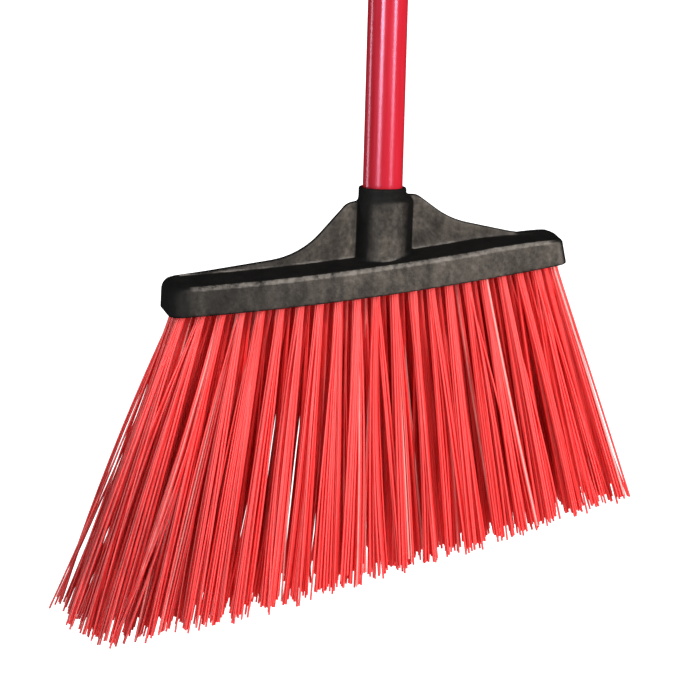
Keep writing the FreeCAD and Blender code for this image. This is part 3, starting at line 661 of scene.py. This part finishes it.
def block_material():
    """Black moulded plastic: dark elsewhere, grey and mottled on the upright faces from rubbing and painted light,
    with pale painted highlights on the top edges and the foot of the web.
    """
    material, tree, shader = new_material("block_plastic_look")
    point = object_point(tree)
    clouds = noise(tree, point, 46, 7, 0.66)
    smears = noise(tree, object_point(tree, (120, 120, 40)), 1.0, 6, 0.62)
    specks = noise(tree, point, 1100, 3, 0.6)
    scuffs = noise(tree, point, 380, 5, 0.72)
    mixed = mix(tree, 0.5, clouds, smears, "FLOAT")
    dust = mix(tree, 0.3, mixed, scuffs, "FLOAT")
    # The upright faces' lighter colour, mottled: rubbing and painted light.
    rubbed_and_lit = ramp(tree, dust, [
        (0.38, (0.023, 0.0188, 0.0155)), (0.47, (0.050, 0.0418, 0.0345)),
        (0.55, (0.088, 0.0740, 0.0610)), (0.66, (0.175, 0.1500, 0.1250)),
    ])
    clean = ramp(tree, dust, [(0.40, (0.0025, 0.0022, 0.0020)), (0.65, (0.009, 0.0082, 0.0074))])
    colour = mix(tree, attribute(tree, "rubbed_and_lit"), clean, rubbed_and_lit)
    # Painted highlight on the top edges, broken up by the dust noise.
    edge_highlight_share = times(tree, attribute(tree, "painted_edge_highlight"), remap(tree, dust, 0.40, 0.56, 0.0, 0.8))
    colour = mix(tree, edge_highlight_share, colour, (0.23, 0.205, 0.180, 1))
    # Painted highlight along the foot of the web, in the same pale colour.
    web_foot_highlight = times(tree, attribute(tree, "web_foot_highlight"), remap(tree, clouds, 0.40, 0.56, 0.1, 1.0))
    colour = mix(tree, web_foot_highlight, colour, (0.23, 0.205, 0.180, 1))
    rough = ramp(tree, dust, [(0.38, grey(0.42)), (0.55, grey(0.50)), (0.72, grey(0.62))])
    rough = mix(tree, attribute(tree, "rubbed_and_lit"), (0.70, 0.70, 0.70, 1), rough)
    tree.links.new(colour, shader.inputs["Base Color"])
    tree.links.new(rough, shader.inputs["Roughness"])
    grain = bump(tree, specks, 0.14, 0.0004)
    dents = bump(tree, clouds, 0.16, 0.0014, grain)
    tree.links.new(dents, shader.inputs["Normal"])
    shader.inputs["Specular IOR Level"].default_value = 0.12
    return material


def bristle_material():
    """Red drawn plastic, with a tone for each filament, a painted highlight on a few and painted shade on the tips
    at the lower left.
    """
    material, tree, shader = new_material("bristle_red_look")
    along = noise(tree, object_point(tree, (1, 1, 0.25)), 220, 3, 0.6)
    mixed = mix(tree, 0.30, attribute(tree, "tone"), along, "FLOAT")
    # The pale pink top of the ramp is the painted highlight of a few filaments.
    colour = ramp(tree, mixed, [
        (0.0, (0.88, 0.022, 0.020)), (0.35, (0.94, 0.034, 0.032)),
        (0.75, (0.96, 0.056, 0.053)), (1.0, (0.97, 0.34, 0.31)),
    ])
    # Painted shade on the tips at the lower left, broken into streaks.
    streaks = noise(tree, object_point(tree, (1, 1, 0.05)), 260, 2, 0.5)
    shade_share = remap(tree, streaks, 0.35, 0.65, 0.35, 1.0)
    colour = mix(tree, times(tree, attribute(tree, "lower_left_shade"), shade_share), colour, (0.52, 0.010, 0.010, 1))
    tree.links.new(colour, shader.inputs["Base Color"])
    rough = ramp(tree, along, [(0.3, grey(0.30)), (0.7, grey(0.46))])
    tree.links.new(rough, shader.inputs["Roughness"])
    fine = noise(tree, object_point(tree, (1, 1, 0.08)), 2600, 2, 0.5)
    tree.links.new(bump(tree, fine, 0.12, 0.0002), shader.inputs["Normal"])
    shader.inputs["Specular IOR Level"].default_value = 0.5
    return material


def enamel_material():
    """Glossy red coat over a drawn tube, with faint orange peel."""
    material, tree, shader = new_material("handle_enamel_look")
    drawn = noise(tree, object_point(tree, (1, 1, 0.03)), 420, 4, 0.6)
    peel = noise(tree, object_point(tree), 380, 2, 0.5)
    colour = ramp(tree, drawn, [
        (0.3, (0.44, 0.008, 0.016)), (0.55, (0.51, 0.010, 0.022)), (0.75, (0.56, 0.014, 0.032)),
    ])
    tree.links.new(colour, shader.inputs["Base Color"])
    rough = ramp(tree, drawn, [(0.3, grey(0.17)), (0.7, grey(0.27))])
    tree.links.new(rough, shader.inputs["Roughness"])
    tree.links.new(bump(tree, peel, 0.06, 0.0004), shader.inputs["Normal"])
    shader.inputs["Specular IOR Level"].default_value = 0.95
    shader.inputs["Specular Tint"].default_value = (1.0, 0.70, 1.0, 1)
    return material


def plain_plastic(name, colour, rough):
    material, tree, shader = new_material(name)
    cloud = noise(tree, object_point(tree), 130, 5, 0.6)
    lighter = tuple(c * 2.2 + 0.004 for c in colour)
    shade = ramp(tree, cloud, [(0.35, colour), (0.72, lighter)])
    tree.links.new(shade, shader.inputs["Base Color"])
    polish = ramp(tree, cloud, [(0.3, grey(rough + 0.07)), (0.7, grey(rough - 0.06))])
    tree.links.new(polish, shader.inputs["Roughness"])
    grain = noise(tree, object_point(tree), 1400, 3, 0.6)
    tree.links.new(bump(tree, grain, 0.12, 0.0003), shader.inputs["Normal"])
    return material


def wire_material():
    material, tree, shader = new_material("staple_steel_look")
    drawn = noise(tree, object_point(tree, (1, 0.05, 1)), 1500, 3, 0.6)
    shade = ramp(tree, drawn, [(0.3, grey(0.42)), (0.7, grey(0.66))])
    tree.links.new(shade, shader.inputs["Base Color"])
    polish = ramp(tree, drawn, [(0.3, grey(0.34)), (0.7, grey(0.22))])
    tree.links.new(polish, shader.inputs["Roughness"])
    shader.inputs["Metallic"].default_value = 1.0
    return material


def paint(name, material):
    mesh = frame["nodes"][name].data
    mesh.materials.clear()
    mesh.materials.append(material)


# ------------------------------------------------------------------ build


block = make_block(block_material())
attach(block, "head")
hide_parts("broom_block")

columns, roots = make_bristles(bristle_material())
for number, piece in enumerate(columns, start=1):
    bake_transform(piece)
    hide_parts(f"tuft_column_{number:02d}")
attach(roots, "head")
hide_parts("tuft_roots")

tube = make_tube(enamel_material())
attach(tube, "handle")
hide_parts("handle_tube")

dark_plastic = plain_plastic("fitting_plastic_look", colour=(0.012, 0.0115, 0.011), rough=0.38)
for name in ("threaded_tip", "end_plug", "hang_cap"):
    paint(name, dark_plastic)
paint("tuft_anchors", wire_material())


# ------------------------------------------------------------------ floor, light and camera

FLOOR_DROP, FLOOR_SIZE = 1.0, 90
WHITE = 1.05
MID_BRISTLES, HANDLE_FOOT, NEAR_MOUTH = (0, 0, -0.08), (0, 0, 0.03), (0, 0, 0.05)
SENSOR = 36
ORIGIN_PLACE = (0.0643068, 0.2249263)


def make_floor():
    """A wide pale floor, well below the broom, that lights itself and casts nothing on the broom."""
    place = (0, 0, -FLOOR_DROP)
    bpy.ops.mesh.primitive_grid_add(x_subdivisions=4, y_subdivisions=4, size=FLOOR_SIZE, location=place)
    floor = bpy.context.object
    floor.name = "floor"
    material, tree, shader = new_material("floor_pale")
    speck = noise(tree, object_point(tree), 3.0, 3, 0.5)
    tree.links.new(ramp(tree, speck, [(0.3, grey(0.80)), (0.7, grey(0.84))]), shader.inputs["Base Color"])
    shader.inputs["Roughness"].default_value = 0.9
    shader.inputs["Emission Color"].default_value = (1, 1, 1, 1)
    shader.inputs["Emission Strength"].default_value = 1.0
    floor.data.materials.append(material)
    floor.visible_diffuse = False
    floor.visible_glossy = False


def area_light(name, azimuth, elevation, distance, width, height, power, target=MID_BRISTLES):
    """A softbox that faces the target. Azimuth 0 is in front of the block, positive to its right."""
    a, e = math.radians(azimuth), math.radians(elevation)
    way = Vector((math.sin(a) * math.cos(e), -math.cos(a) * math.cos(e), math.sin(e)))
    data = bpy.data.lights.new(name, "AREA")
    data.shape, data.size, data.size_y, data.energy = "RECTANGLE", width, height, power
    light = bpy.data.objects.new(name, data)
    light.location = Vector(target) + way * distance
    light.rotation_mode = "QUATERNION"
    light.rotation_quaternion = (-way).to_track_quat("-Z", "Y")
    light.visible_camera = False
    bpy.context.scene.collection.objects.link(light)
    return light


def make_world(level, mirrored):
    """Even light: level for matt surfaces, mirrored for shiny ones, and white where the camera sees it."""
    world = bpy.data.worlds.new("studio")
    world.use_nodes = True
    tree = world.node_tree
    path = node(tree, "LightPath").outputs
    light = mix(tree, path["Is Glossy Ray"], level, mirrored, "FLOAT")
    strength = mix(tree, path["Is Camera Ray"], light, WHITE, "FLOAT")
    tree.links.new(strength, tree.nodes["Background"].inputs["Strength"])
    tree.nodes["Background"].inputs["Color"].default_value = (1.0, 1.0, 1.0, 1)
    bpy.context.scene.world = world


def make_camera(azimuth, elevation, roll, distance, scale, place):
    """Camera over a frame scale metres wide, with the origin at a place in shares of it from its centre."""
    a, e, r = (math.radians(v) for v in (azimuth, elevation, roll))
    back = Vector((math.sin(a) * math.cos(e), -math.cos(a) * math.cos(e), math.sin(e)))
    right = Vector((math.cos(a), math.sin(a), 0))
    up = back.cross(right)
    across = right * math.cos(r) + up * math.sin(r)
    upward = up * math.cos(r) - right * math.sin(r)
    data = bpy.data.cameras.new("camera")
    camera = bpy.data.objects.new("camera", data)
    bpy.context.scene.collection.objects.link(camera)
    centre = -(across * place[0] + upward * place[1]) * scale
    matrix = Matrix((across, upward, back)).transposed().to_4x4()
    matrix.translation = centre + back * distance
    camera.matrix_world = matrix
    data.sensor_width = SENSOR
    data.lens = SENSOR * distance / scale
    data.clip_end = 200
    bpy.context.scene.camera = camera


make_floor()
# The two boxes and the strip give the handle its highlights. The fill lights matt surfaces only.
left_box = area_light("left_box", -36, 16, 2.2, 0.56, 1.6, 62, HANDLE_FOOT)
left_box.visible_diffuse = False
area_light("right_box", 37, 16, 2.2, 0.54, 1.6, 42, HANDLE_FOOT)
area_light("top_front", 8, 42, 1.8, 0.9, 0.35, 7)
fill = area_light("front_fill", 26, 14, 1.4, 1.0, 0.8, 2.0, (0.05, 0, -0.08))
fill.visible_glossy = False
area_light("left_strip", -112, -8, 1.6, 0.25, 0.5, 2.4, NEAR_MOUTH)
make_world(level=0.74, mirrored=0.026)
make_camera(azimuth=-10, elevation=9.3, roll=1.59, distance=2.3, scale=0.37615, place=ORIGIN_PLACE)
bpy.context.scene.view_settings.view_transform = "Standard"
